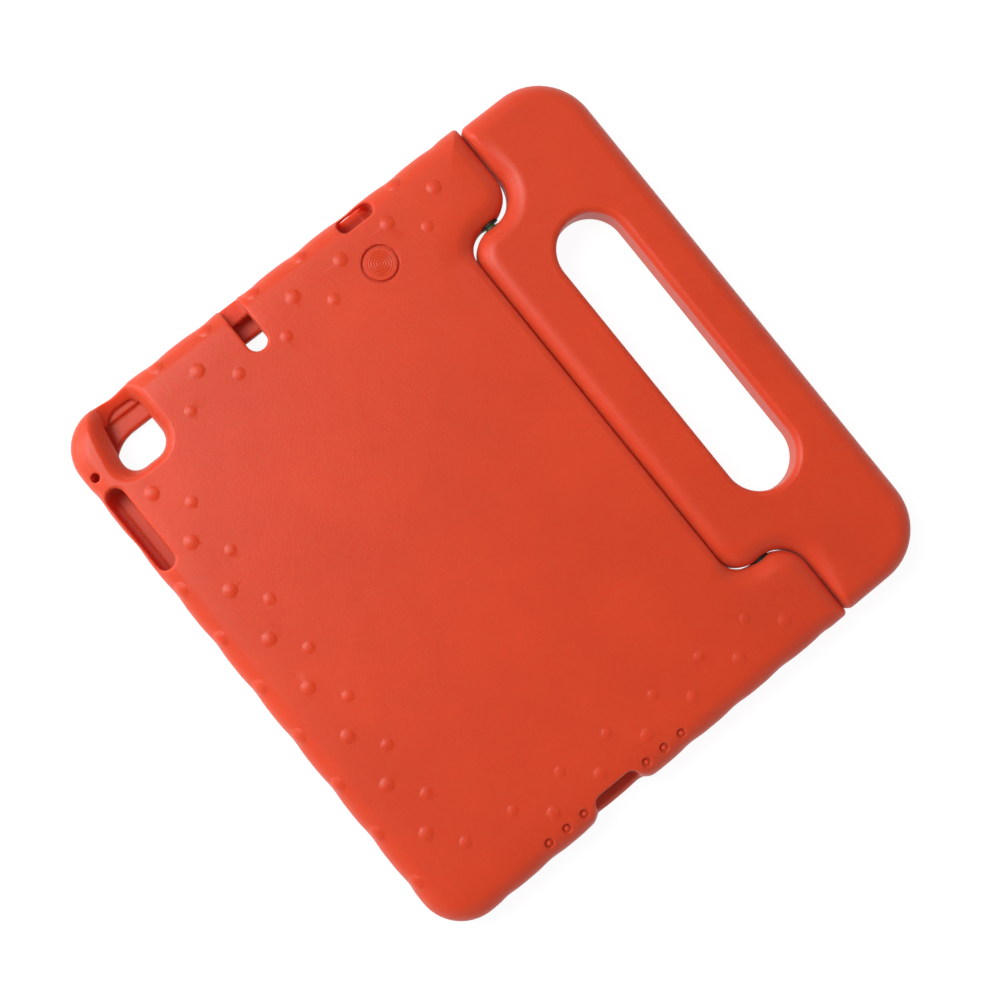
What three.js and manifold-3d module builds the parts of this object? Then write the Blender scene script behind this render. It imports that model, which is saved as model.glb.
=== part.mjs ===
// Foam tablet case with a folding carry handle. Millimetres, +Z up.
// The case lies on its screen side: z = 0 is the front lip, +Z is the back.
// X runs along the tablet's long edge, -X is the camera end and +X the charging end.
// +Y points to the handle. The origin is the middle of the footprint, at the bottom.
import * as THREE from 'three';
import { mergeVertices } from 'three/addons/utils/BufferGeometryUtils.js';
import Module from 'manifold-3d';

const wasm = await Module();
wasm.setup();

// The tablet that the case is moulded for
const tabletLength = 240;
const tabletWidth = 169.5;
const tabletThickness = 7.5;
const tabletCorner = 9;
const tabletFit = 0.25;

// Foam walls round the tablet
const endWall = 7.7;
const lowerWall = 4.3;
const recessWall = 4.0;
const frontLip = 4.5;
const backWall = 8.5;
const lipOverEnd = 7.7;
const lipOverSide = 6.0;
const windowCorner = 6;

// Ears that carry the hinge, and the recess between them
const earLength = 40;
const earReach = 28.7;
const caseCorner = 18.5;
const earTipCorner = 3.5;
const earCorner = 13;
const recessCorner = 12;

// Handle
const handleDepth = 48;
const handleEndInset = 1.3;
const handleShift = 0.5;
const handleCorner = 24;
const handleTipCorner = 3.5;
const tongueCorner = 12;
const throatCorner = 13;
const innerBar = 24.6;
const slotLength = 137.7;
const slotWidth = 30.8;

// Rounding of the foam edges
const backRound = 8;
const frontRound = 5;
const hingeRound = 8;
const recessRound = 3.5;
const slotBackRound = 5;
const slotFrontRound = 8;

// Running gaps between the handle and the case
const seamGap = 0.8;
const sideGap = 1.2;

// Hinge hardware
const pinDiameter = 4.6;
const pinLength = 36;
const sleeveDiameter = 8.6;
const sleeveLength = 19;
const sleeveProud = 0.2;
const boreFit = 0.3;
const boreEndRoom = 0.5;

// Camera opening: a window that runs past the tablet's end to a low outer rim, so that a
// finger reaches the power button, in a wider flare that runs out over the end edge
const cameraAlong = 101.1;
const cameraWidth = 18.6;
const cameraReach = 30.8;
const cameraCorner = 7.5;
const cameraSill = 6;
const cameraRim = 4.4;
const rimInnerRise = 2;
const rimOuterRise = 4;
const flareAlong = 102.7;
const flareWidth = 29.4;
const flareReach = 34;
const flareCorner = 11;

// Microphone slot through the back wall, open at the end edge
const micAlong = 39.5;
const micWidth = 8.9;
const micReach = 24.2;
const micDrop = 1;

// Headphone opening, a pocket with a thin outer wall that the plug's hole goes through
const jackAlong = 22.7;
const jackWidth = 17;
const jackReach = 8.2;
const openingRim = 1.4;
const openingCorner = 3.2;
const portSill = 6;
const plugWidth = 11;
const plugHeight = 5.5;
const plugCorner = 2.6;

// Volume slot in the lower edge
const volumeStart = 30.6;
const volumeLength = 39.4;
const volumeReach = 9.9;

// Charging notch and speaker holes, centred on the tablet's short edge
const chargeAlong = 40;
const chargeWidth = 22;
const chargeReach = 8.6;
const chargeCorner = 4;
const speakerFirst = 16.1;
const speakerPitch = 9.1;
const speakerInset = 6.7;
const speakerDiameter = 3.8;
const speakerDepth = 3;
const speakersPerSide = 3;

// Small round hole beside the camera opening
const smallHoleFromEnd = 23.3;
const smallHoleInset = 4.5;
const smallHoleDiameter = 3.8;
const smallHoleDepth = 12.5;

// Round mark in the back, a ring groove round a disc
const markAlong = 18.9;
const markFromEnd = 26.2;
const markRadius = 7.4;
const grooveWidth = 1;
const grooveDepth = 0.7;

// Low round bumps in staggered rows along the edges, largest on the rounded edge
const bumpHeight = 0.6;
const bumpRoot = 1.5;
const outerBump = 3.4;
const middleBump = 2.8;
const innerBump = 2.3;
const sideRowAngle = 42;
const lowerPitch = 24.7;
const lowerRowStart = 42.3;
const lowerMiddleInset = 18.2;
const lowerInnerInset = 28.2;
const endPitch = 24.2;
const endRowStart = 7.2;
const endBumpsBelow = 3;
const endBumpsAbove = 2;
const endMiddleInset = 15;
const endInnerInset = 26;
const bumpClearance = 1;

// Smoothness of the curves
const arcSteps = 6;
const roundSteps = 5;
const boreSteps = 24;
const bumpSides = 9;
const domeSteps = 3;

// Sizes and places that follow from the values above
const bayLength = tabletLength + 2 * tabletFit;
const bayWidth = tabletWidth + 2 * tabletFit;
const bayDepth = tabletThickness + 2 * tabletFit;
const thickness = frontLip + bayDepth + backWall;
const middle = thickness / 2;
const halfLength = bayLength / 2 + endWall;
const overallWidth = lowerWall + bayWidth + recessWall + earReach + seamGap + handleDepth;
const lowerEdge = -overallWidth / 2;
const bayLow = lowerEdge + lowerWall;
const bayHigh = bayLow + bayWidth;
const recessEdge = bayHigh + recessWall;
const earEdge = recessEdge + earReach;
const earFace = halfLength - earLength;
const hingeReach = (earReach - seamGap) / 2;
const pivotY = earEdge - hingeReach;
const tongueEdge = recessEdge + seamGap;
const throatEdge = earEdge + seamGap;
const gripEdge = throatEdge + handleDepth;
const tongueHalf = earFace - sideGap;
const handleHalf = halfLength - handleEndInset;
const backTop = thickness;
const overshoot = 5;

// Outline of a polygon whose sides are set in by the given distances, with round corners.
// Each layer of a loft has the same number of points, so the layers join one to one.
function outline(corners, insets, steps = arcSteps) {
  const count = corners.length;
  const lines = corners.map((corner, i) => {
    const next = corners[(i + 1) % count];
    const dir = new THREE.Vector2(next.x - corner.x, next.y - corner.y).normalize();
    const inward = new THREE.Vector2(-dir.y, dir.x);
    return { point: new THREE.Vector2(corner.x, corner.y).addScaledVector(inward, insets[i]), dir };
  });
  const points = [];
  for (let i = 0; i < count; i += 1) {
    const before = (i + count - 1) % count;
    const a = lines[before];
    const b = lines[i];
    const turn = a.dir.cross(b.dir);
    const reach = b.point.clone().sub(a.point).cross(b.dir) / turn;
    const tip = a.point.clone().addScaledVector(a.dir, reach);
    const inset = (insets[before] + insets[i]) / 2;
    const radius = Math.max(corners[i].r - Math.sign(turn) * inset, 0.3);
    const half = Math.atan2(turn, a.dir.dot(b.dir)) / 2;
    const back = radius * Math.tan(Math.abs(half));
    const start = tip.clone().addScaledVector(a.dir, -back);
    const side = Math.sign(turn) * radius;
    const centre = start.clone().add(new THREE.Vector2(-a.dir.y, a.dir.x).multiplyScalar(side));
    for (let k = 0; k <= steps; k += 1) {
      const spoke = start.clone().sub(centre).rotateAround(new THREE.Vector2(), (2 * half * k) / steps);
      points.push(centre.clone().add(spoke));
    }
  }
  return points;
}

// Closed body through a stack of outlines, flat at both ends
function loft(layers) {
  const positions = [];
  for (const layer of layers) {
    for (const point of layer.points) positions.push(point.x, point.y, layer.z);
  }
  const ring = layers[0].points.length;
  const last = (layers.length - 1) * ring;
  const index = [];
  for (let level = 0; level < layers.length - 1; level += 1) {
    for (let i = 0; i < ring; i += 1) {
      const a = level * ring + i;
      const b = level * ring + ((i + 1) % ring);
      index.push(a, b, b + ring);
      index.push(a, b + ring, a + ring);
    }
  }
  for (const [a, b, c] of THREE.ShapeUtils.triangulateShape(layers[0].points, [])) {
    index.push(c, b, a);
  }
  for (const [a, b, c] of THREE.ShapeUtils.triangulateShape(layers.at(-1).points, [])) {
    index.push(last + a, last + b, last + c);
  }
  const geometry = new THREE.BufferGeometry();
  geometry.setAttribute('position', new THREE.Float32BufferAttribute(positions, 3));
  geometry.setIndex(index);
  return geometry;
}

// How far a round of the given radius draws a face in, at a depth below the surface
function drawIn(radius, depth) {
  if (depth >= radius) return 0;
  return radius - Math.sqrt(radius ** 2 - (radius - depth) ** 2);
}

// Heights of the loft layers, closer together towards both faces
function layerHeights(radius) {
  const heights = [];
  for (let k = 0; k <= roundSteps; k += 1) {
    heights.push(radius * (1 - Math.cos((Math.PI / 2) * (k / roundSteps))));
  }
  const upper = heights.map((height) => thickness - height).reverse();
  return [...heights, ...upper];
}

// Body with an outline whose sides carry their own front and back rounds
function roundedBody(corners, fronts, backs) {
  const layers = layerHeights(Math.max(...fronts, ...backs)).map((z) => {
    const insets = corners.map((corner, i) => drawIn(fronts[i], z) + drawIn(backs[i], thickness - z));
    return { z, points: outline(corners, insets) };
  });
  return loft(layers);
}

// Corner points of an upright rectangle with equal corners, counter-clockwise
function box(x0, y0, x1, y1, r) {
  return [
    { x: x0, y: y0, r },
    { x: x1, y: y0, r },
    { x: x1, y: y1, r },
    { x: x0, y: y1, r },
  ];
}

// Upright prism with a rounded rectangular section
function prism(x0, y0, x1, y1, r, z0, z1) {
  const points = outline(box(x0, y0, x1, y1, r), [0, 0, 0, 0]);
  const shape = new THREE.Shape(points);
  const geometry = new THREE.ExtrudeGeometry(shape, { depth: z1 - z0, bevelEnabled: false });
  return geometry.translate(0, 0, z0);
}

// Prism along X with a rounded section in Y and Z
function tunnel(y0, z0, y1, z1, r, x0, x1) {
  const points = outline(box(y0, z0, y1, z1, r), [0, 0, 0, 0]);
  const shape = new THREE.Shape(points);
  const geometry = new THREE.ExtrudeGeometry(shape, { depth: x1 - x0, bevelEnabled: false });
  geometry.rotateX(Math.PI / 2).rotateZ(Math.PI / 2);
  return geometry.translate(x0, 0, 0);
}

// Upright or lying cylinder between two points
function rod(diameter, from, to) {
  const span = new THREE.Vector3().subVectors(to, from);
  const geometry = new THREE.CylinderGeometry(diameter / 2, diameter / 2, span.length(), boreSteps);
  const turn = new THREE.Quaternion();
  turn.setFromUnitVectors(new THREE.Vector3(0, 1, 0), span.clone().normalize());
  geometry.applyQuaternion(turn);
  const centre = new THREE.Vector3().addVectors(from, to).multiplyScalar(0.5);
  return geometry.translate(centre.x, centre.y, centre.z);
}

function toSolid(geometry) {
  const bare = geometry.clone();
  bare.deleteAttribute('normal');
  bare.deleteAttribute('uv');
  const merged = mergeVertices(bare, 1e-4);
  const vertProperties = new Float32Array(merged.attributes.position.array);
  const triVerts = new Uint32Array(merged.index.array);
  return new wasm.Manifold(new wasm.Mesh({ numProp: 3, vertProperties, triVerts }));
}

function toGeometry(solid) {
  const mesh = solid.getMesh();
  const geometry = new THREE.BufferGeometry();
  geometry.setAttribute('position', new THREE.BufferAttribute(mesh.vertProperties, 3));
  geometry.setIndex(new THREE.BufferAttribute(mesh.triVerts, 1));
  geometry.computeVertexNormals();
  return geometry;
}

function joined(body, additions) {
  return additions.reduce((solid, geometry) => solid.add(toSolid(geometry)), body);
}

function cut(body, cutters) {
  return cutters.reduce((solid, geometry) => solid.subtract(toSolid(geometry)), body);
}

// Case body: a slab with two ears, soft round edges and a tight edge along the recess
const caseCorners = [
  { x: -halfLength, y: lowerEdge, r: caseCorner },
  { x: halfLength, y: lowerEdge, r: caseCorner },
  { x: halfLength, y: earEdge, r: earTipCorner },
  { x: earFace, y: earEdge, r: earCorner },
  { x: earFace, y: recessEdge, r: recessCorner },
  { x: -earFace, y: recessEdge, r: recessCorner },
  { x: -earFace, y: earEdge, r: earCorner },
  { x: -halfLength, y: earEdge, r: earTipCorner },
];
const caseFronts = [
  frontRound, frontRound, hingeRound, hingeRound, recessRound, hingeRound, hingeRound, frontRound,
];
const caseBacks = [
  backRound, backRound, hingeRound, hingeRound, recessRound, hingeRound, hingeRound, backRound,
];

// Tablet bay, and the screen window through the front lip
const bayFloor = frontLip;
const bayRoof = frontLip + bayDepth;
const bay = prism(-bayLength / 2, bayLow, bayLength / 2, bayHigh, tabletCorner, bayFloor, bayRoof);
const screenWindow = prism(
  lipOverEnd - bayLength / 2,
  bayLow + lipOverSide,
  bayLength / 2 - lipOverEnd,
  bayHigh - lipOverSide,
  windowCorner,
  -overshoot,
  bayFloor + overshoot / 10,
);

// Camera opening: the window over the bay, and the flare that widens from it to the back face.
// At the outer end the flare starts lower, where it slopes out over the rim.
const outside = halfLength + overshoot;
const cameraLow = -cameraAlong - cameraWidth / 2;
const cameraHigh = -cameraAlong + cameraWidth / 2;
const cameraEnd = cameraReach - halfLength;
const rimInside = cameraRim - halfLength;
const cameraWindow = prism(
  rimInside, cameraLow, cameraEnd, cameraHigh, cameraCorner, cameraSill, backTop - overshoot,
);
const flat = [0, 0, 0, 0];
const flareFoot = outline(box(rimInside, cameraLow, cameraEnd, cameraHigh, cameraCorner), flat);
const flareRim = outline(box(-halfLength, cameraLow, cameraEnd, cameraHigh, cameraCorner), flat);
const flareWaist = outline(box(-outside, cameraLow, cameraEnd, cameraHigh, cameraCorner), flat);
const flareTop = outline(
  box(
    -outside,
    -flareAlong - flareWidth / 2,
    flareReach - halfLength,
    -flareAlong + flareWidth / 2,
    flareCorner,
  ),
  flat,
);
const cameraFlare = loft([
  { z: cameraSill + rimInnerRise, points: flareFoot },
  { z: cameraSill + rimOuterRise, points: flareRim },
  { z: bayRoof, points: flareWaist },
  { z: backTop, points: flareTop },
  { z: backTop + overshoot, points: flareTop },
]);

// Microphone slot with a round inner end
const micSlot = prism(
  -outside,
  -micAlong - micWidth / 2,
  micReach - halfLength,
  -micAlong + micWidth / 2,
  micWidth / 2.01,
  bayRoof - micDrop,
  backTop + overshoot,
);

// Headphone pocket from above, and the hole for the plug through its outer wall
const jackPocket = prism(
  openingRim - halfLength,
  jackAlong - jackWidth / 2,
  jackReach - halfLength,
  jackAlong + jackWidth / 2,
  openingCorner,
  portSill,
  backTop + overshoot,
);
const plugTunnel = tunnel(
  jackAlong - plugWidth / 2,
  portSill,
  jackAlong + plugWidth / 2,
  portSill + plugHeight,
  plugCorner,
  -outside,
  overshoot / 5 - bayLength / 2,
);

// Volume slot, open to the back and to the tablet's long edge
const volumeX = volumeStart - halfLength;
const volumeSlot = prism(
  volumeX,
  lowerEdge + openingRim,
  volumeX + volumeLength,
  lowerEdge + volumeReach,
  (volumeReach - openingRim) / 2.02,
  bayFloor,
  backTop + overshoot,
);

// Charging notch, open to the back and to the outside
const chargeNotch = prism(
  halfLength - chargeReach,
  -chargeAlong - chargeWidth / 2,
  outside,
  -chargeAlong + chargeWidth / 2,
  chargeCorner,
  portSill,
  backTop + overshoot,
);

// Blind round holes from the back face, down beside the tablet's edge
function edgeHole(diameter, x, y, depth) {
  const low = new THREE.Vector3(x, y, backTop - depth);
  const high = new THREE.Vector3(x, y, backTop + overshoot);
  return rod(diameter, low, high);
}

const smallHoleX = smallHoleFromEnd - halfLength;
const smallHoleY = lowerEdge + smallHoleInset;
const edgeHoles = [edgeHole(smallHoleDiameter, smallHoleX, smallHoleY, smallHoleDepth)];
const speakerX = halfLength - speakerInset;
for (let k = 0; k < speakersPerSide; k += 1) {
  const offset = speakerFirst + speakerPitch * k;
  edgeHoles.push(edgeHole(speakerDiameter, speakerX, -chargeAlong - offset, speakerDepth));
  edgeHoles.push(edgeHole(speakerDiameter, speakerX, -chargeAlong + offset, speakerDepth));
}

// Ring groove of the round mark
const markX = markFromEnd - halfLength;
const markGroove = new THREE.LatheGeometry(
  [
    new THREE.Vector2(markRadius, -grooveDepth),
    new THREE.Vector2(markRadius + grooveWidth, 0),
    new THREE.Vector2(markRadius + grooveWidth, grooveDepth),
    new THREE.Vector2(markRadius - grooveWidth, grooveDepth),
    new THREE.Vector2(markRadius - grooveWidth, 0),
    new THREE.Vector2(markRadius, -grooveDepth),
  ],
  boreSteps,
);
markGroove.rotateX(Math.PI / 2).translate(markX, markAlong, backTop);

// Low dome on a short root that sits in the foam, tilted about Y and then turned about Z
function bump(radius, x, y, z, tilt, turn) {
  const sphere = (radius ** 2 + bumpHeight ** 2) / (2 * bumpHeight);
  const span = Math.asin(radius / sphere);
  const profile = [new THREE.Vector2(0, -bumpRoot), new THREE.Vector2(radius, -bumpRoot)];
  for (let k = 0; k < domeSteps; k += 1) {
    const angle = span * (1 - k / domeSteps);
    const height = bumpHeight - sphere * (1 - Math.cos(angle));
    profile.push(new THREE.Vector2(sphere * Math.sin(angle), height));
  }
  profile.push(new THREE.Vector2(0, bumpHeight));
  const geometry = new THREE.LatheGeometry(profile, bumpSides);
  geometry.rotateX(Math.PI / 2).rotateY(tilt).rotateZ(turn);
  return geometry.translate(x, y, z);
}

// The side row sits on the rounded back edge and faces out at its own angle
const lean = THREE.MathUtils.degToRad(sideRowAngle);
const sideInset = backRound * (1 - Math.sin(lean));
const sideZ = backTop - backRound * (1 - Math.cos(lean));

// Rows along the lower edge, the side row only past the volume slot
const bumps = [];
const volumeEnd = volumeX + volumeLength;
const lowerRowX = lowerRowStart - halfLength;
const lowerRowEnd = halfLength - caseCorner - outerBump - lowerPitch / 2;
for (let x = lowerRowX; x < lowerRowEnd; x += lowerPitch) {
  const between = x + lowerPitch / 2;
  bumps.push(bump(middleBump, x, lowerEdge + lowerMiddleInset, backTop, 0, 0));
  bumps.push(bump(innerBump, between, lowerEdge + lowerInnerInset, backTop, 0, 0));
  if (between - outerBump > volumeEnd + bumpClearance) {
    bumps.push(bump(outerBump, between, lowerEdge + sideInset, sideZ, lean, -Math.PI / 2));
  }
}

// Rows up both ends, which leave out the places of the slots and the round mark
const micSpan = { centre: -micAlong, width: micWidth };
const jackSpan = { centre: jackAlong, width: jackWidth };
const markSpan = { centre: markAlong, width: 2 * (markRadius + grooveWidth) };
function clearOf(place, radius, spans) {
  return spans.every((span) => {
    const room = span.width / 2 + radius + bumpClearance;
    return Math.abs(place - span.centre) > room;
  });
}
for (let k = -endBumpsBelow; k <= endBumpsAbove; k += 1) {
  const y = endRowStart + endPitch * k;
  const between = y - endPitch / 2;
  bumps.push(bump(middleBump, halfLength - endMiddleInset, y, backTop, 0, 0));
  bumps.push(bump(innerBump, halfLength - endInnerInset, between, backTop, 0, 0));
  if (clearOf(y, middleBump, [micSpan])) {
    bumps.push(bump(middleBump, endMiddleInset - halfLength, y, backTop, 0, 0));
  }
  if (clearOf(between, innerBump, [markSpan])) {
    bumps.push(bump(innerBump, endInnerInset - halfLength, between, backTop, 0, 0));
  }
  if (clearOf(between, outerBump, [micSpan, jackSpan])) {
    bumps.push(bump(outerBump, sideInset - halfLength, between, sideZ, lean, Math.PI));
  }
}

// Blind bores for the hinge sleeves
const boreDiameter = sleeveDiameter + 2 * boreFit;
const boreDepth = sleeveLength + boreEndRoom;
function boreIn(from, depth) {
  const start = new THREE.Vector3(from - Math.sign(depth) * overshoot, pivotY, middle);
  const end = new THREE.Vector3(from + depth, pivotY, middle);
  return rod(boreDiameter, start, end);
}
const tongueLeft = handleShift - tongueHalf;
const tongueRight = handleShift + tongueHalf;

const caseSolid = cut(
  joined(toSolid(roundedBody(caseCorners, caseFronts, caseBacks)), bumps),
  [
    bay,
    screenWindow,
    cameraWindow,
    cameraFlare,
    micSlot,
    jackPocket,
    plugTunnel,
    volumeSlot,
    chargeNotch,
    ...edgeHoles,
    markGroove,
    boreIn(earFace, boreDepth),
    boreIn(-earFace, -boreDepth),
  ],
);

// Handle: a broad grip with a tongue that fills the recess between the ears
const handleCorners = [
  { x: tongueLeft, y: tongueEdge, r: tongueCorner },
  { x: tongueRight, y: tongueEdge, r: tongueCorner },
  { x: tongueRight, y: throatEdge, r: throatCorner },
  { x: handleShift + handleHalf, y: throatEdge, r: handleTipCorner },
  { x: handleShift + handleHalf, y: gripEdge, r: handleCorner },
  { x: handleShift - handleHalf, y: gripEdge, r: handleCorner },
  { x: handleShift - handleHalf, y: throatEdge, r: handleTipCorner },
  { x: tongueLeft, y: throatEdge, r: throatCorner },
];
const handleRounds = handleCorners.map(() => hingeRound);

// Grip slot with full round ends and rolled edges on both faces
const slotLow = tongueEdge + innerBar;
const slotCorners = box(
  handleShift - slotLength / 2,
  slotLow,
  handleShift + slotLength / 2,
  slotLow + slotWidth,
  slotWidth / 2.01,
);
const slotLayers = layerHeights(Math.max(slotBackRound, slotFrontRound)).map((z) => {
  const roll = drawIn(slotFrontRound, z) + drawIn(slotBackRound, thickness - z);
  return { z, points: outline(slotCorners, slotCorners.map(() => -roll)) };
});
const slotBelow = { z: -overshoot, points: slotLayers[0].points };
const slotAbove = { z: thickness + overshoot, points: slotLayers.at(-1).points };
const gripSlot = loft([slotBelow, ...slotLayers, slotAbove]);

const handleSolid = cut(toSolid(roundedBody(handleCorners, handleRounds, handleRounds)), [
  gripSlot,
  boreIn(tongueRight, -boreDepth),
  boreIn(tongueLeft, boreDepth),
]);

// Plain tube whose bore takes the pin with a running clearance
function sleeveGeometry() {
  const inner = pinDiameter / 2 + boreFit;
  const outer = sleeveDiameter / 2;
  const profile = [
    new THREE.Vector2(inner, 0),
    new THREE.Vector2(outer, 0),
    new THREE.Vector2(outer, sleeveLength),
    new THREE.Vector2(inner, sleeveLength),
    new THREE.Vector2(inner, 0),
  ];
  return new THREE.LatheGeometry(profile, boreSteps);
}

const foam = { color: 0xd8492b, roughness: 0.55, metalness: 0 };
const sleeveLook = { color: 0x1b1918, roughness: 0.6, metalness: 0 };
const pinLook = { color: 0x2f4d2f, roughness: 0.4, metalness: 0 };

const part = new THREE.Group();

function place(name, geometry, look) {
  const mesh = new THREE.Mesh(geometry, new THREE.MeshStandardMaterial(look));
  mesh.name = name;
  part.add(mesh);
  return mesh;
}

// A hinge piece runs along X from its start, towards +X or -X
function alongX(mesh, start, direction) {
  mesh.rotation.z = -direction * (Math.PI / 2);
  mesh.position.set(start, pivotY, middle);
}

place('case_shell', toGeometry(caseSolid), foam);
place('handle', toGeometry(handleSolid), foam);

const hinges = [
  { side: 'left', face: -earFace, tongue: tongueLeft, out: -1 },
  { side: 'right', face: earFace, tongue: tongueRight, out: 1 },
];
for (const hinge of hinges) {
  const pin = new THREE.CylinderGeometry(pinDiameter / 2, pinDiameter / 2, pinLength, boreSteps);
  const gapMiddle = (hinge.face + hinge.tongue) / 2;
  const pinMesh = place(`hinge_pin_${hinge.side}`, pin, pinLook);
  pinMesh.rotation.z = Math.PI / 2;
  pinMesh.position.set(gapMiddle, pivotY, middle);
  const earSleeve = place(`ear_sleeve_${hinge.side}`, sleeveGeometry(), sleeveLook);
  alongX(earSleeve, hinge.face - hinge.out * sleeveProud, hinge.out);
  const handleSleeve = place(`handle_sleeve_${hinge.side}`, sleeveGeometry(), sleeveLook);
  alongX(handleSleeve, hinge.tongue + hinge.out * sleeveProud, -hinge.out);
}

export default part;
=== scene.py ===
# Looks for the foam tablet case with its folding handle. Metres in Blender, millimetres in
# the shape functions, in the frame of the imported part: +X to the charging end, +Y to the
# handle, +Z out of the back.
import bpy
import math
import numpy as np
from collections import namedtuple
from functools import partial
from mathutils import Matrix, Vector


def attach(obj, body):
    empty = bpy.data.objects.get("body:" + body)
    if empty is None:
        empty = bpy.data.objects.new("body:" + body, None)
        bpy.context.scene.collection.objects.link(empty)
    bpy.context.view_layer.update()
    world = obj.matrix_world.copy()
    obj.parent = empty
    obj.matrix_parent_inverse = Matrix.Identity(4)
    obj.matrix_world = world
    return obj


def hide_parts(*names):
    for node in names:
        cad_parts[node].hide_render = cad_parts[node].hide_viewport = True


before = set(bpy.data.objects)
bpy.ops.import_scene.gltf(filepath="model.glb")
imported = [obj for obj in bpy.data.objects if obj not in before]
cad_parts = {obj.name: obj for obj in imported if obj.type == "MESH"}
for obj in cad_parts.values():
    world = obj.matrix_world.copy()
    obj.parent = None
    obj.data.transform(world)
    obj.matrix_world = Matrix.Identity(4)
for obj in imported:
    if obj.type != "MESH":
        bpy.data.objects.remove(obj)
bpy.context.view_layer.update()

MM_IN_M = 1000

# Case, in millimetres, the same as the solid has
THICK = 21.0
MID = THICK / 2
HALF = 127.95  # half length over the ends
LOW = -127.9  # lower edge
RECESS = 50.4  # floor of the recess between the ears
EAR = 79.1  # top of the ears
FACE = 87.95  # inner face of each ear
PIVOT = 65.15  # axis of the hinge
BAY_HALF = 120.25  # tablet bay
BAY_LOW = -123.6
BAY_HIGH = 46.4
LIP = 4.5  # top of the retaining lip, which is the bay's floor
ROOF = 12.5  # top of the bay
BACK_EDGE = 8.0  # edge rounds of the case
FRONT_EDGE = 5.0
EAR_EDGE = 8.0
RECESS_EDGE = 3.5
BORE_RADIUS = 4.6  # bores of the sleeves, 8 mm deep in an ear and 20 mm in the tongue
BORE_BACK = 6.0
BORE_HALF = 14.0

# Handle, fitted to the photograph more closely than the solid is: the seam is 0.35 mm narrower,
# and the outer edge, the corners and some edge rounds differ a little
TONGUE = 50.85  # lower edge of the tongue
THROAT = 79.55  # where the handle meets the ears' tops
GRIP = 127.5  # outer edge
SHIFT = 0.65  # towards the charging end
TONGUE_HALF = 86.95
HANDLE_HALF = 126.65
HANDLE_EDGE = 8.0  # edge rounds of the handle
TONGUE_EDGE = 6.5
THROAT_EDGE = 3.0
SLOT_HALF = 68.85  # grip slot
SLOT_LOW = 75.8
SLOT_HIGH = 106.6
SLOT_CORNER = 15.39
SLOT_BACK_EDGE = 3.0
SLOT_FRONT_EDGE = 8.0

# What the foam's surface has beyond the solids: a crown of the back that falls towards the
# edges, and shallow dips of the outer sides between the bumps
CROWN_DROP = 0.8
CROWN_START = 17.0
CROWN_RUN = 13.0
SIDE_RAISE = 0.15
SIDE_DIP = 0.5

# Window inside the retaining lip, on the screen side
WINDOW_HALF = 112.55
WINDOW_INSET = 6.0
WINDOW_CORNER = 17.0

# Camera opening, whose lower edge falls from the outer side to the right
CAMERA_LEFT = -123.55
CAMERA_RIGHT = -97.15
CAMERA_LOW = -107.0
CAMERA_LOWEST = -112.4
CAMERA_HIGH = -91.8
CAMERA_SLANT = 0.2045
CAMERA_MIDDLE = -110.35
CAMERA_CORNER = 7.5
OUTER_LOW_CORNER = 6.0
OUTER_HIGH_CORNER = 3.5
OUTER_SPLIT = -100.0  # between these two corners
CAMERA_SILL = 6.0
FLARE_SILL = 8.0

# Openings cut from the back: sides, corner radius, sill, and the rounds at sill and rim
Opening = namedtuple("Opening", "left right low high corner sill foot rim")
MIC = Opening(-145.0, -103.75, -43.95, -35.05, corner=4.44, sill=11.5, foot=0.3, rim=0.8)
JACK = Opening(-126.55, -119.75, 14.2, 31.2, corner=3.2, sill=6.0, foot=0.6, rim=0.9)
VOLUME = Opening(-97.35, -57.95, -126.5, -118.0, corner=4.2, sill=LIP, foot=0.3, rim=1.0)
NOTCH = Opening(119.35, 145.0, -51.0, -29.0, corner=4.0, sill=6.0, foot=1.5, rim=0.9)
MIC_PLACE = -39.5
JACK_PLACE = 22.7
NOTCH_PLACE = -40.0
NOTCH_FLARE = 4.2  # how much rounder the notch gets towards the outside

# Headphone plug's hole through the outer wall
PLUG_LOW = 17.2
PLUG_HIGH = 28.2
PLUG_SILL = 6.0
PLUG_TOP = 11.5
PLUG_CORNER = 2.6
PLUG_END = -119.25

# Small round hole beside the camera
HOLE_X = 23.3 - HALF
HOLE_Y = LOW + 4.5
HOLE_RADIUS = 1.9
HOLE_SILL = 8.5

# Speaker dimples on both sides of the charging notch, each with a low dome
DIMPLE_X = HALF - 6.7
DIMPLE_FIRST = 16.1
DIMPLE_PITCH = 9.1
DIMPLE_RADIUS = 1.9
DIMPLE_DEPTH = 2.4
DOME_DEPTH = 2.2
DOME_RADIUS = 1.2
SMALL_REACH = 6.0  # how far the hole and the dimples change the surface, at most

# Round mark
MARK_X = -101.75
MARK_Y = 18.9
MARK_RADIUS = 7.4
GROOVE_HALF = 0.52
GROOVE_DEPTH = 1.4

# Rows of bumps: first place and pitch along the lower edge and along the two ends
LOW_FIRST = 42.3 - HALF
LOW_PITCH = 24.7
END_FIRST = 7.2
END_PITCH = 24.2
LOW_ROWS = (18.2, 28.2)  # how far in from the edge the two rows on the back are
END_ROWS = (15.0, 26.0)
EDGE_LEAN = math.radians(40)  # where on the back's edge round the edge rows sit
EDGE_DROP = 0.7  # about what the crown takes off there
EDGE_INSET = BACK_EDGE * (1 - math.sin(EDGE_LEAN))
EDGE_HEIGHT = THICK - EDGE_DROP - BACK_EDGE * (1 - math.cos(EDGE_LEAN))
EDGE_START = -52.0  # the lower edge row starts past the volume slot
MIC_CLEAR = 9.0  # half the stretch without bumps at the slot, the pocket and the mark
JACK_CLEAR = 13.0
MARK_CLEAR = 11.0

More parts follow.
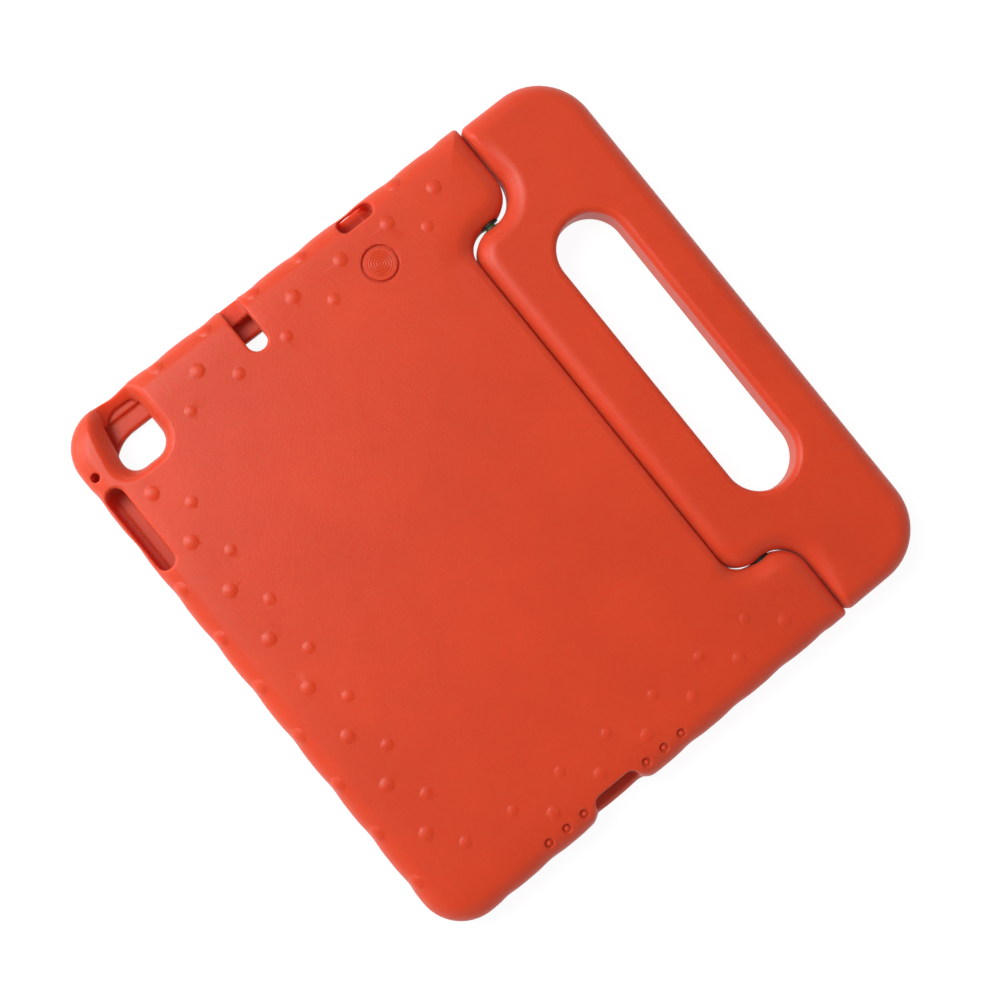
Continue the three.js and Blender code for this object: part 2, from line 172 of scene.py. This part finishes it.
# Bumps, and the radius and height of each kind
Bump = namedtuple("Bump", "x y z radius height")
LARGE = (3.1, 0.55)
SMALL = (2.6, 0.42)
FLAT_LARGE = (3.0, 0.45)
FLAT_SMALL = (2.4, 0.35)
LOW_EDGE = (3.6, 0.7)
END_EDGE = (3.6, 0.9)


# Outlines: polygons with round corners, as closed runs of short segments
def outline(corners, steps=14):
    points = []
    count = len(corners)
    for i, (x, y, r) in enumerate(corners):
        here = np.array([x, y])
        before = np.array(corners[i - 1][:2])
        after = np.array(corners[(i + 1) % count][:2])
        a = (here - before) / np.linalg.norm(here - before)
        b = (after - here) / np.linalg.norm(after - here)
        turn = a[0] * b[1] - a[1] * b[0]
        half = math.atan2(turn, float(a @ b)) / 2
        start = here - a * r * math.tan(abs(half))
        centre = start + np.array([-a[1], a[0]]) * math.copysign(r, turn)
        spoke = start - centre
        for k in range(steps + 1):
            t = 2 * half * k / steps
            c, s = math.cos(t), math.sin(t)
            points.append(centre + np.array([c * spoke[0] - s * spoke[1], s * spoke[0] + c * spoke[1]]))
    return np.array(points)


CASE = outline([
    (-HALF, LOW, 18.5), (HALF, LOW, 19.5), (HALF, EAR, 2.0), (FACE, EAR, 13.0),
    (FACE, RECESS, 12.0), (-FACE, RECESS, 12.0), (-FACE, EAR, 13.0), (-HALF, EAR, 2.0),
])
HANDLE = outline([
    (SHIFT - TONGUE_HALF, TONGUE, 12.0), (SHIFT + TONGUE_HALF, TONGUE, 12.0),
    (SHIFT + TONGUE_HALF, THROAT, 13.6), (SHIFT + HANDLE_HALF, THROAT, 2.0),
    (SHIFT + HANDLE_HALF, GRIP, 25.5), (SHIFT - HANDLE_HALF, GRIP, 25.5),
    (SHIFT - HANDLE_HALF, THROAT, 2.0), (SHIFT - TONGUE_HALF, THROAT + 0.6, 13.0),
])


# Signed distance to an outline, kept as a fine table and read back between its points
class Flat:
    STEP = 0.4
    MARGIN = 14.0
    SHORTEST = 1e-12

    def __init__(self, points):
        self.low = points.min(0) - self.MARGIN
        high = points.max(0) + self.MARGIN
        nx, ny = np.ceil((high - self.low) / self.STEP).astype(int) + 2
        x = (self.low[0] + np.arange(nx) * self.STEP)[:, None]
        y = (self.low[1] + np.arange(ny) * self.STEP)[None, :]
        best = np.full((nx, ny), np.inf)
        inside = np.zeros((nx, ny), bool)
        for (ax, ay), (bx, by) in zip(points, np.roll(points, -1, 0)):
            ex, ey = bx - ax, by - ay
            square = ex * ex + ey * ey
            if square < self.SHORTEST:
                continue
            t = np.clip(((x - ax) * ex + (y - ay) * ey) / square, 0, 1)
            best = np.minimum(best, (x - ax - t * ex) ** 2 + (y - ay - t * ey) ** 2)
            if ay != by:
                crosses = (ay > y) != (by > y)
                inside ^= crosses & (x < ax + (y - ay) * ex / ey)
        self.table = np.where(inside, -1, 1) * np.sqrt(best)

    def __call__(self, x, y):
        fx = (x - self.low[0]) / self.STEP
        fy = (y - self.low[1]) / self.STEP
        ix = np.clip(np.floor(fx).astype(int), 0, self.table.shape[0] - 2)
        iy = np.clip(np.floor(fy).astype(int), 0, self.table.shape[1] - 2)
        tx = np.clip(fx - ix, 0, 1)
        ty = np.clip(fy - iy, 0, 1)
        t = self.table
        return ((t[ix, iy] * (1 - tx) + t[ix + 1, iy] * tx) * (1 - ty)
                + (t[ix, iy + 1] * (1 - tx) + t[ix + 1, iy + 1] * tx) * ty)


case_flat = Flat(CASE)
handle_flat = Flat(HANDLE)


# Smooth step from 0 at a to 1 at b
def ramp(v, a, b):
    t = np.clip((v - a) / (b - a), 0, 1)
    return t * t * (3 - 2 * t)


# Shape a without shape b, with a round of radius r along the seam
def cut(a, b, r):
    u = np.maximum(r + a, 0)
    v = np.maximum(r - b, 0)
    return np.minimum(-r, np.maximum(a, -b)) + np.sqrt(u * u + v * v)


# What shapes a and b share, with a round of radius r along the seam
def both(a, b, r):
    return cut(a, -b, r)


# Rectangle from x0 to x1 and y0 to y1 with round corners
def pane(x, y, x0, x1, y0, y1, r):
    qx = abs(x - (x0 + x1) / 2) - (x1 - x0) / 2 + r
    qy = abs(y - (y0 + y1) / 2) - (y1 - y0) / 2 + r
    return np.minimum(np.maximum(qx, qy), 0) + np.hypot(np.maximum(qx, 0), np.maximum(qy, 0)) - r


# Slab of the part's thickness with the given outline distance and its own round on each face
def slab(flat, z, front, back):
    r = np.where(z > MID, back, front)
    q1 = flat + r
    q2 = abs(z - MID) - (MID - r)
    return np.minimum(np.maximum(q1, q2), 0) + np.hypot(np.maximum(q1, 0), np.maximum(q2, 0)) - r


# Work on only the part of the arrays that lies near a point, where it is cheap to find
def near(d, x, y, z, cx, cy, reach, change):
    if d.ndim == 3:
        i = np.flatnonzero(abs(x[:, 0, 0] - cx) < reach)
        j = np.flatnonzero(abs(y[0, :, 0] - cy) < reach)
        if len(i) and len(j):
            a = slice(i[0], i[-1] + 1)
            b = slice(j[0], j[-1] + 1)
            d[a, b, :] = change(d[a, b, :], x[a], y[:, b], z)
        return d
    pick = np.flatnonzero((abs(x - cx) < reach) & (abs(y - cy) < reach))
    if len(pick):
        d[pick] = change(d[pick], x[pick], y[pick], z[pick])
    return d


# All bumps: two rows on the back along the lower edge and both ends, flatter at the charging
# end, and a row on the edge round along the lower edge and the camera end
def bumps():
    found = []
    for k in range(8):
        x = LOW_FIRST + LOW_PITCH * k
        between = x + LOW_PITCH / 2
        found.append(Bump(x, LOW + LOW_ROWS[0], THICK, *LARGE))
        found.append(Bump(between, LOW + LOW_ROWS[1], THICK, *SMALL))
        if between > EDGE_START:
            found.append(Bump(between, LOW + EDGE_INSET, EDGE_HEIGHT, *LOW_EDGE))
    for k in range(-3, 3):
        y = END_FIRST + END_PITCH * k
        between = y - END_PITCH / 2
        found.append(Bump(HALF - END_ROWS[0], y, THICK, *FLAT_LARGE))
        found.append(Bump(HALF - END_ROWS[1], between, THICK, *FLAT_SMALL))
        if abs(y - MIC_PLACE) > MIC_CLEAR:
            found.append(Bump(END_ROWS[0] - HALF, y, THICK, *LARGE))
        if abs(between - MARK_Y) > MARK_CLEAR:
            found.append(Bump(END_ROWS[1] - HALF, between, THICK, *SMALL))
        if abs(between - MIC_PLACE) > MIC_CLEAR and abs(between - JACK_PLACE) > JACK_CLEAR:
            found.append(Bump(EDGE_INSET - HALF, between, EDGE_HEIGHT, *END_EDGE))
    return found


BUMPS = bumps()


# Low dome that follows the surface it stands on
def raised(d, x, y, z, spot):
    away2 = (x - spot.x) ** 2 + (y - spot.y) ** 2 + (z - spot.z) ** 2
    return d - spot.height * np.clip(1 - away2 / spot.radius ** 2, 0, 1)


# Dip between two bumps of the first row: 0 beside a bump, 1 halfway to the next
def dip(place, first, pitch):
    return ((1 - np.cos(2 * math.pi * (place - first) / pitch)) / 2) ** 2


# How far the outer sides stand out from the plain outline, less than nothing in a dip
def ripple(x, y, z, flat):
    at_low = ramp(LOW + 9 - y, 0, 5)
    at_ends = ramp(abs(x) - HALF + 9, 0, 5)
    low = dip(x, LOW_FIRST, LOW_PITCH) * at_low * ramp(106 - abs(x), 0, 8)
    ends = dip(y, END_FIRST, END_PITCH) * at_ends * ramp(y + 106, 0, 8) * ramp(72 - y, 0, 8)
    sides = np.clip(at_low + at_ends, 0, 1)
    out = SIDE_RAISE * sides - SIDE_DIP * (low + ends)
    return out * ramp(flat, -7, -1) * ramp(z, 1, 5) * ramp(20 - z, 0, 6)


# Body of the case with its crown, its edge rounds and its bumps
def case_body(x, y, z):
    flat = case_flat(x, y)
    recess = ramp(86 - abs(x), 0, 10) * ramp(y, 30, 42)
    back = BACK_EDGE - (BACK_EDGE - RECESS_EDGE) * recess
    ears = (EAR_EDGE - FRONT_EDGE) * ramp(y, 45, 60)
    front = FRONT_EDGE + ears - (FRONT_EDGE - RECESS_EDGE) * recess
    crown = CROWN_DROP * np.clip((flat + CROWN_START) / CROWN_RUN, 0, 1) ** 2 * (1 - recess)
    d = slab(flat, np.where(z > MID, z + crown, z), front, back) - ripple(x, y, z, flat)
    for spot in BUMPS:
        d = near(d, x, y, z, spot.x, spot.y, spot.radius, partial(raised, spot=spot))
    return d


# Tablet bay, and the screen window inside its retaining lip
def tablet_bay(d, x, y, z):
    flat = pane(x, y, -BAY_HALF, BAY_HALF, BAY_LOW, BAY_HIGH, 9)
    bay = both(flat, abs(z - (LIP + ROOF) / 2) - (ROOF - LIP) / 2, 1.0)
    low = BAY_LOW + WINDOW_INSET
    high = BAY_HIGH - WINDOW_INSET
    window = pane(x, y, -WINDOW_HALF, WINDOW_HALF, low, high, WINDOW_CORNER)
    return cut(cut(d, bay, 0.5), both(window, z - (LIP + 1), 0.3), 1.6)


# Camera opening with its low outer rim, and the flare that widens from it to the back
def camera_opening(d, x, y, z):
    low = np.clip(CAMERA_LOW - CAMERA_SLANT * (x - CAMERA_LEFT), CAMERA_LOWEST, CAMERA_LOW)
    outer_corner = np.where(y > OUTER_SPLIT, OUTER_HIGH_CORNER, OUTER_LOW_CORNER)
    corner = np.where(x > CAMERA_MIDDLE, CAMERA_CORNER, outer_corner)
    window = pane(x, y, CAMERA_LEFT, CAMERA_RIGHT, low, CAMERA_HIGH, corner)
    d = cut(d, both(window, CAMERA_SILL - z, 0.8), 0.8)
    rise = np.clip((z - ROOF) / (THICK - ROOF), 0, 1.2)
    rise = rise * (0.72 + 0.28 * rise)
    left = np.interp(z, [FLARE_SILL, 10, ROOF, ROOF + 2], [CAMERA_LEFT, -HALF, -133, -140])
    right = CAMERA_RIGHT + 3.2 * rise
    corner = CAMERA_CORNER + 3.5 * np.minimum(rise, 1)
    flare = pane(x, y, left, right, low - 6 * rise, CAMERA_HIGH + 3.8 * rise, corner)
    return cut(d, both(flare, FLARE_SILL - z, 1.0), 1.6)


# Shape of an opening above its sill
def hollow(x, y, z, opening):
    left, right, low, high, corner, sill, foot, _ = opening
    return both(pane(x, y, left, right, low, high, corner), sill - z, foot)


# Microphone slot, headphone pocket with the plug's hole, volume slot and charging notch
def side_openings(d, x, y, z):
    d = cut(d, hollow(x, y, z, MIC), MIC.rim)
    d = cut(d, hollow(x, y, z, JACK), JACK.rim)
    plug = pane(y, z, PLUG_LOW, PLUG_HIGH, PLUG_SILL, PLUG_TOP, PLUG_CORNER)
    d = cut(d, both(plug, x - PLUG_END, 0.4), 0.6)
    d = cut(d, hollow(x, y, z, VOLUME), VOLUME.rim)
    return cut(d, hollow(x, y, z, NOTCH), NOTCH.rim + NOTCH_FLARE * ramp(x, 121.5, 127))


def small_hole(d, x, y, z):
    return cut(d, both(np.hypot(x - HOLE_X, y - HOLE_Y) - HOLE_RADIUS, HOLE_SILL - z, 0.3), 0.6)


def dimple(d, x, y, z, cx, cy):
    flat = np.hypot(x - cx, y - cy)
    pit = both(flat - DIMPLE_RADIUS, THICK - DIMPLE_DEPTH - z, 0.5)
    dome = np.hypot(flat, z - THICK + DOME_DEPTH) - DOME_RADIUS
    return cut(d, cut(pit, dome, 0.3), 0.5)


# Small hole, speaker dimples and the groove of the round mark
def small_features(d, x, y, z):
    d = near(d, x, y, z, HOLE_X, HOLE_Y, SMALL_REACH, small_hole)
    for k in range(3):
        for side in (-1, 1):
            cy = NOTCH_PLACE + side * (DIMPLE_FIRST + DIMPLE_PITCH * k)
            d = near(d, x, y, z, DIMPLE_X, cy, SMALL_REACH, partial(dimple, cx=DIMPLE_X, cy=cy))
    ring = abs(np.hypot(x - MARK_X, y - MARK_Y) - MARK_RADIUS) - GROOVE_HALF
    return cut(d, both(ring, THICK - GROOVE_DEPTH - z, 0.1), 0.12)


# Bores of the sleeves on the hinge's axis, round the faces at the given distance from the middle
def bore_out(d, across, y, z, face):
    round_bore = np.hypot(y - PIVOT, z - MID) - BORE_RADIUS
    return cut(d, both(round_bore, abs(across - face + BORE_BACK) - BORE_HALF, 0.2), 0.3)


def case_shape(x, y, z):
    d = case_body(x, y, z)
    d = tablet_bay(d, x, y, z)
    d = camera_opening(d, x, y, z)
    d = side_openings(d, x, y, z)
    d = small_features(d, x, y, z)
    return bore_out(d, abs(x), y, z, FACE)


def handle_shape(x, y, z):
    across = abs(x - SHIFT)
    tongue = (HANDLE_EDGE - TONGUE_EDGE) * ramp(60 - y, 0, 6) * ramp(80 - abs(x), 0, 10)
    edge = HANDLE_EDGE - tongue
    d = slab(handle_flat(x, y), z, edge, edge)
    # Towards its outer ends the throat has a sharper edge, and the side runs straight through to it
    tip = both(slab(across - HANDLE_HALF, z, HANDLE_EDGE, HANDLE_EDGE), THROAT - y, THROAT_EDGE)
    share = ramp(across, 99, 122) * ramp(98 - y, 0, 8)
    d = d * (1 - share) + tip * share
    slot = pane(x, y, SHIFT - SLOT_HALF, SHIFT + SLOT_HALF, SLOT_LOW, SLOT_HIGH, SLOT_CORNER)
    d = cut(d, slot, np.where(z > MID, SLOT_BACK_EDGE, SLOT_FRONT_EDGE))
    return bore_out(d, across, y, z, TONGUE_HALF)


# Grid lines between stops, each stretch with its own spacing
def stations(stops, spacings):
    lines = [np.array([stops[0]])]
    for a, b, spacing in zip(stops, stops[1:], spacings):
        count = max(int(math.ceil((b - a) / spacing)), 1)
        lines.append(a + (b - a) * np.arange(1, count + 1) / count)
    return np.concatenate(lines)


# Points of a surface, one in each of the given grid cells, at the mean of where the surface
# crosses the cell's edges
def cell_points(values, cells, axes):
    sums = np.zeros((len(cells), 3))
    hits = np.zeros(len(cells))
    for c, a in values.items():
        for axis in range(3):
            if c[axis]:
                continue
            e = list(c)
            e[axis] = 1
            b = values[tuple(e)]
            crosses = (a < 0) != (b < 0)
            t = np.where(crosses, a / np.where(crosses, a - b, 1), 0)
            place = np.array(c, float)[None, :] + np.eye(3)[axis] * t[:, None]
            sums += np.where(crosses[:, None], place, 0)
            hits += crosses
    share = sums / hits[:, None]
    points = np.empty((len(cells), 3))
    for axis in range(3):
        low = axes[axis][cells[:, axis]]
        high = axes[axis][cells[:, axis] + 1]
        points[:, axis] = low + (high - low) * share[:, axis]
    return points


# Quads of a surface: one round each grid edge that it crosses, in the given direction
def edge_quads(inside, number, axis):
    first = [slice(1, None)] * 3
    first[axis] = slice(0, -1)
    a = inside[tuple(first)]
    b = inside[1:, 1:, 1:]
    at = np.argwhere(a != b)
    flip = a[tuple(at.T)]
    one, two = [(1, 2), (2, 0), (0, 1)][axis]
    at[:, one] += 1
    at[:, two] += 1
    ring = []
    for du, dw in ((-1, -1), (0, -1), (0, 0), (-1, 0)):
        cell = at.copy()
        cell[:, one] += du
        cell[:, two] += dw
        ring.append(number[cell[:, 0], cell[:, 1], cell[:, 2]])
    ring = np.stack(ring, 1)
    ring[~flip] = ring[~flip][:, ::-1]
    return ring


# Surface of a shape as a closed quad mesh: one point in each grid cell that it crosses
def skin(shape, axes):
    x, y, z = axes[0][:, None, None], axes[1][None, :, None], axes[2][None, None, :]
    counts = [len(a) for a in axes]
    v = np.broadcast_to(shape(x, y, z), counts).astype(np.float32)
    inside = v < 0
    corners = [(i, j, k) for i in (0, 1) for j in (0, 1) for k in (0, 1)]
    nx, ny, nz = (n - 1 for n in counts)
    total = np.zeros((nx, ny, nz), np.uint8)
    for i, j, k in corners:
        total += inside[i:i + nx, j:j + ny, k:k + nz]
    cells = np.argwhere((total > 0) & (total < len(corners)))
    number = np.full((nx, ny, nz), -1, np.int32)
    number[tuple(cells.T)] = np.arange(len(cells))
    values = {c: v[cells[:, 0] + c[0], cells[:, 1] + c[1], cells[:, 2] + c[2]] for c in corners}
    quads = [edge_quads(inside, number, axis) for axis in range(3)]
    return cell_points(values, cells, axes), np.concatenate(quads)


# Unit normals of a shape at the given points, and how fast its distance changes there
def slopes(shape, p, h=0.12, least=0.2):
    out = np.empty_like(p)
    for axis in range(3):
        q = p.copy()
        q[:, axis] += h
        ahead = shape(q[:, 0], q[:, 1], q[:, 2])
        q[:, axis] -= 2 * h
        out[:, axis] = (ahead - shape(q[:, 0], q[:, 1], q[:, 2])) / (2 * h)
    steep = np.maximum(np.linalg.norm(out, axis=1), least)
    return out / steep[:, None], steep


# Points moved onto a shape's surface, each by so much at most in a round
def settle(shape, p, rounds, most):
    for _ in range(rounds):
        n, steep = slopes(shape, p)
        d = shape(p[:, 0], p[:, 1], p[:, 2])
        p = p - n * np.clip(d / steep, -most, most)[:, None]
    return p


# Mesh of an object with fewer triangles, taken out where it is flat
def thinned(piece, name, ratio):
    full = piece.data
    thin = piece.modifiers.new("thin", "DECIMATE")
    thin.ratio = ratio
    bpy.context.view_layer.objects.active = piece
    bpy.context.view_layer.update()
    done = bpy.data.meshes.new_from_object(piece.evaluated_get(bpy.context.evaluated_depsgraph_get()))
    piece.modifiers.clear()
    piece.data = done
    bpy.data.meshes.remove(full)
    done.name = name
    return done


# Mesh object of a shape, with at most so many triangles and with the shape's own normals
def foam_piece(name, shape, grid, most, material):
    points, quads = skin(shape, grid)
    points = settle(shape, points, 2, 0.5)
    mesh = bpy.data.meshes.new(name)
    mesh.from_pydata((points / MM_IN_M).tolist(), [], quads.tolist())
    mesh.update()
    piece = bpy.data.objects.new(name, mesh)
    bpy.context.scene.collection.objects.link(piece)
    triangles = 2 * len(quads)
    if triangles > most:
        mesh = thinned(piece, name, most / triangles)
    flat = np.empty(len(mesh.vertices) * 3)
    mesh.vertices.foreach_get("co", flat)
    places = settle(shape, flat.reshape(-1, 3) * MM_IN_M, 1, 0.2)
    mesh.vertices.foreach_set("co", (places / MM_IN_M).ravel())
    mesh.update()
    mesh.polygons.foreach_set("use_smooth", np.ones(len(mesh.polygons), bool))
    normals, _ = slopes(shape, places, 0.15)
    mesh.normals_split_custom_set_from_vertices(normals.tolist())
    mesh.materials.append(material)
    return piece


# Material with an empty shader joined to its output
def nodes_of(name):
    material = bpy.data.materials.new(name)
    material.use_nodes = True
    tree = material.node_tree
    tree.nodes.clear()
    out = tree.nodes.new("ShaderNodeOutputMaterial")
    shader = tree.nodes.new("ShaderNodeBsdfPrincipled")
    tree.links.new(shader.outputs[0], out.inputs[0])
    return material, tree, shader


def object_coords(tree):
    return tree.nodes.new("ShaderNodeTexCoord").outputs["Object"]


def noise(tree, coords, scale, detail):
    node = tree.nodes.new("ShaderNodeTexNoise")
    node.inputs["Scale"].default_value = scale
    node.inputs["Detail"].default_value = detail
    tree.links.new(coords, node.inputs["Vector"])
    return node.outputs["Fac"]


# Colour between two tones, by where a value lies between two stops
def toned(tree, value, stops, tones):
    node = tree.nodes.new("ShaderNodeValToRGB")
    for element, stop, tone in zip(node.color_ramp.elements, stops, tones):
        element.position = stop
        element.color = (*tone, 1)
    tree.links.new(value, node.inputs["Fac"])
    return node.outputs["Color"]


# Value taken from one range to another
def spread(tree, value, to_min, to_max, from_min=0.0, from_max=1.0):
    node = tree.nodes.new("ShaderNodeMapRange")
    node.inputs["From Min"].default_value = from_min
    node.inputs["From Max"].default_value = from_max
    node.inputs["To Min"].default_value = to_min
    node.inputs["To Max"].default_value = to_max
    tree.links.new(value, node.inputs["Value"])
    return node.outputs["Result"]


# Result of an operation on inputs that are each a socket or a number
def calculated(tree, operation, *inputs):
    node = tree.nodes.new("ShaderNodeMath")
    node.operation = operation
    for socket, value in zip(node.inputs, inputs):
        if isinstance(value, float):
            socket.default_value = value
        else:
            tree.links.new(value, socket)
    return node.outputs[0]


# Normal with relief from a height, on top of another relief where one is given
def relief(tree, height, strength, distance, under=None):
    node = tree.nodes.new("ShaderNodeBump")
    node.inputs["Strength"].default_value = strength
    node.inputs["Distance"].default_value = distance
    tree.links.new(height, node.inputs["Height"])
    if under is not None:
        tree.links.new(under, node.inputs["Normal"])
    return node.outputs["Normal"]


# Red in soft patches with fine flecks, with a painted pinkish sheen that makes the colour paler where
# the surface turns away from the camera
def foam_colour(tree, coords, fleck):
    patch = noise(tree, coords, 28, 3)
    red = toned(tree, patch, (0.3, 0.7), ((0.69, 0.0490, 0.0050), (0.755, 0.0560, 0.0064)))
    grain = toned(tree, fleck, (0.35, 0.65), ((0.90, 0.90, 0.90), (1, 1, 1)))
    flecked = tree.nodes.new("ShaderNodeMix")
    flecked.data_type = "RGBA"
    flecked.blend_type = "MULTIPLY"
    flecked.inputs["Factor"].default_value = 0.35
    tree.links.new(red, flecked.inputs["A"])
    tree.links.new(grain, flecked.inputs["B"])
    # Painted sheen: by the viewing angle, the base colour is mixed towards a pale pink at the rims, in
    # place of reflected light
    turn = tree.nodes.new("ShaderNodeLayerWeight")
    turn.inputs["Blend"].default_value = 0.5
    painted_sheen = tree.nodes.new("ShaderNodeMix")
    painted_sheen.data_type = "RGBA"
    painted_sheen.inputs["B"].default_value = (0.88, 0.20, 0.14, 1)
    tree.links.new(spread(tree, turn.outputs["Facing"], 0.0, 0.2, from_max=0.35), painted_sheen.inputs["Factor"])
    tree.links.new(flecked.outputs["Result"], painted_sheen.inputs["A"])
    return painted_sheen.outputs["Result"]


# Height of the fine rings turned into the round mark
def mark_rings(tree, coords):
    reach = tree.nodes.new("ShaderNodeVectorMath")
    reach.operation = "DISTANCE"
    reach.inputs[1].default_value = (MARK_X / MM_IN_M, MARK_Y / MM_IN_M, THICK / MM_IN_M)
    tree.links.new(coords, reach.inputs[0])
    turns = calculated(tree, "MULTIPLY", reach.outputs["Value"], 2 * math.pi / 0.0011)
    within = spread(tree, reach.outputs["Value"], 1.0, 0.0, from_min=0.0050, from_max=0.0054)
    return calculated(tree, "MULTIPLY", calculated(tree, "SINE", turns), within)


# Fine pebbled skin of moulded foam, a slow swell, and the rings of the round mark
def foam_relief(tree, coords):
    pebble = tree.nodes.new("ShaderNodeTexVoronoi")
    pebble.feature = "SMOOTH_F1"
    pebble.inputs["Scale"].default_value = 1300
    tree.links.new(coords, pebble.inputs["Vector"])
    pebbled = relief(tree, pebble.outputs["Distance"], 0.22, 0.00018)
    swollen = relief(tree, noise(tree, coords, 60, 2), 0.25, 0.0004, pebbled)
    return relief(tree, mark_rings(tree, coords), 0.8, 0.00016, swollen)


def foam_material():
    material, tree, shader = nodes_of("moulded_foam")
    coords = object_coords(tree)
    fleck = noise(tree, coords, 900, 2)
    tree.links.new(foam_colour(tree, coords, fleck), shader.inputs["Base Color"])
    tree.links.new(spread(tree, fleck, 0.37, 0.51), shader.inputs["Roughness"])
    tree.links.new(foam_relief(tree, coords), shader.inputs["Normal"])
    shader.inputs["Subsurface Weight"].default_value = 0.7
    shader.inputs["Subsurface Radius"].default_value = (1.0, 0.12, 0.05)
    shader.inputs["Subsurface Scale"].default_value = 0.006
    shader.inputs["Specular IOR Level"].default_value = 0.4
    shader.inputs["Sheen Weight"].default_value = 0.04
    shader.inputs["Sheen Roughness"].default_value = 0.3
    return material


def plastic_material(name, colour, rough):
    material, tree, shader = nodes_of(name)
    mist = noise(tree, object_coords(tree), 700, 3)
    dark = [c * 0.8 for c in colour]
    light = [min(c * 1.2, 1) for c in colour]
    tree.links.new(toned(tree, mist, (0.0, 1.0), (dark, light)), shader.inputs["Base Color"])
    tree.links.new(spread(tree, mist, rough - 0.06, rough + 0.08), shader.inputs["Roughness"])
    return material


# White for what the camera sees, also mirrored or through something clear, over a matt floor
# that still takes a soft shadow
def floor_material():
    material, tree, shader = nodes_of("pale_floor")
    shader.inputs["Base Color"].default_value = (0.94, 0.94, 0.945, 1)
    shader.inputs["Roughness"].default_value = 0.9
    shader.inputs["Specular IOR Level"].default_value = 0.1
    shown = tree.nodes.new("ShaderNodeEmission")
    shown.inputs["Color"].default_value = (1, 1, 1, 1)
    shown.inputs["Strength"].default_value = 1.06
    paths = tree.nodes.new("ShaderNodeLightPath").outputs
    seen = calculated(tree, "MAXIMUM", paths["Is Camera Ray"], paths["Is Glossy Ray"])
    seen = calculated(tree, "MAXIMUM", seen, paths["Is Transmission Ray"])
    blend = tree.nodes.new("ShaderNodeMixShader")
    tree.links.new(calculated(tree, "MULTIPLY", seen, 0.88), blend.inputs["Fac"])
    tree.links.new(shader.outputs[0], blend.inputs[1])
    tree.links.new(shown.outputs[0], blend.inputs[2])
    tree.links.new(blend.outputs[0], tree.nodes["Material Output"].inputs[0])
    return material


foam = foam_material()
pin_look = plastic_material("pin_plastic", (0.16, 0.36, 0.12), 0.34)
sleeve_look = plastic_material("sleeve_plastic", (0.011, 0.010, 0.010), 0.45)

# Grids round both pieces, finer at the edges, the camera opening and the round mark
heights = stations([-1.2, 23.4], [0.45])
case_grid = [
    stations([-130.6, -110.6, -92, 92, 130.6], [0.45, 0.3, 0.8, 0.45]),
    stations([-130.6, -96, 10, 28, 81.9], [0.45, 0.8, 0.3, 0.5]),
    heights,
]
handle_grid = [
    stations([-128.8, -60, 61, 129.8], [0.6, 0.9, 0.6]),
    stations([48.9, 82, 130.4], [0.55, 0.7]),
    heights,
]
case_piece = foam_piece("case_foam", case_shape, case_grid, 195000, foam)
handle_piece = foam_piece("handle_foam", handle_shape, handle_grid, 90000, foam)
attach(case_piece, "case")
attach(handle_piece, "handle")
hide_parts("case_shell")
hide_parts("handle")

for name in ("hinge_pin_left", "hinge_pin_right"):
    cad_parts[name].material_slots[0].material = pin_look
for name in ("ear_sleeve_left", "ear_sleeve_right", "handle_sleeve_left", "handle_sleeve_right"):
    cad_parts[name].material_slots[0].material = sleeve_look

bpy.ops.mesh.primitive_plane_add(size=6, location=(0, 0, -0.0002))
floor = bpy.context.object
floor.name = "floor"
floor.data.materials.append(floor_material())

world = bpy.data.worlds.new("studio")
bpy.context.scene.world = world
world.use_nodes = True
world.node_tree.nodes["Background"].inputs["Color"].default_value = (1, 1, 1, 1)
world.node_tree.nodes["Background"].inputs["Strength"].default_value = 0.34


# Round area light at a place, turned to a target
def area(name, place, target, size, power):
    data = bpy.data.lights.new(name, "AREA")
    data.shape = "DISK"
    data.size = size
    data.energy = power
    lamp = bpy.data.objects.new(name, data)
    bpy.context.scene.collection.objects.link(lamp)
    lamp.location = place
    lamp.rotation_euler = (Vector(target) - Vector(place)).to_track_quat("-Z", "Y").to_euler()


# The key light is high over the camera end and the lower edge, the rim light lies low there
area("key", place=(-0.68, -0.46, 1.37), target=(0, 0, 0), size=0.7, power=15.9)
area("rim", place=(-0.62, -0.70, 0.42), target=(-0.02, -0.02, 0), size=0.7, power=3.5)

# Camera at the photograph's viewpoint: its place, its axes and its lens
CAMERA_PLACE = Vector((0.012578, -0.079433, 0.739338))
RIGHT = Vector((0.628205, 0.774580, 0.073130))
DOWN = Vector((0.777906, -0.623692, -0.076384))
AHEAD = Vector((-0.013555, 0.104873, -0.994393))
SENSOR = 36.0
LENS_TO_SENSOR = 1.8
camera_data = bpy.data.cameras.new("camera")
camera_data.sensor_width = SENSOR
camera_data.lens = SENSOR * LENS_TO_SENSOR
camera = bpy.data.objects.new("camera", camera_data)
bpy.context.scene.collection.objects.link(camera)
axes = Matrix((RIGHT, -DOWN, -AHEAD)).transposed().to_4x4()
camera.matrix_world = Matrix.Translation(CAMERA_PLACE) @ axes
bpy.context.scene.camera = camera
bpy.context.scene.view_settings.view_transform = "Standard"
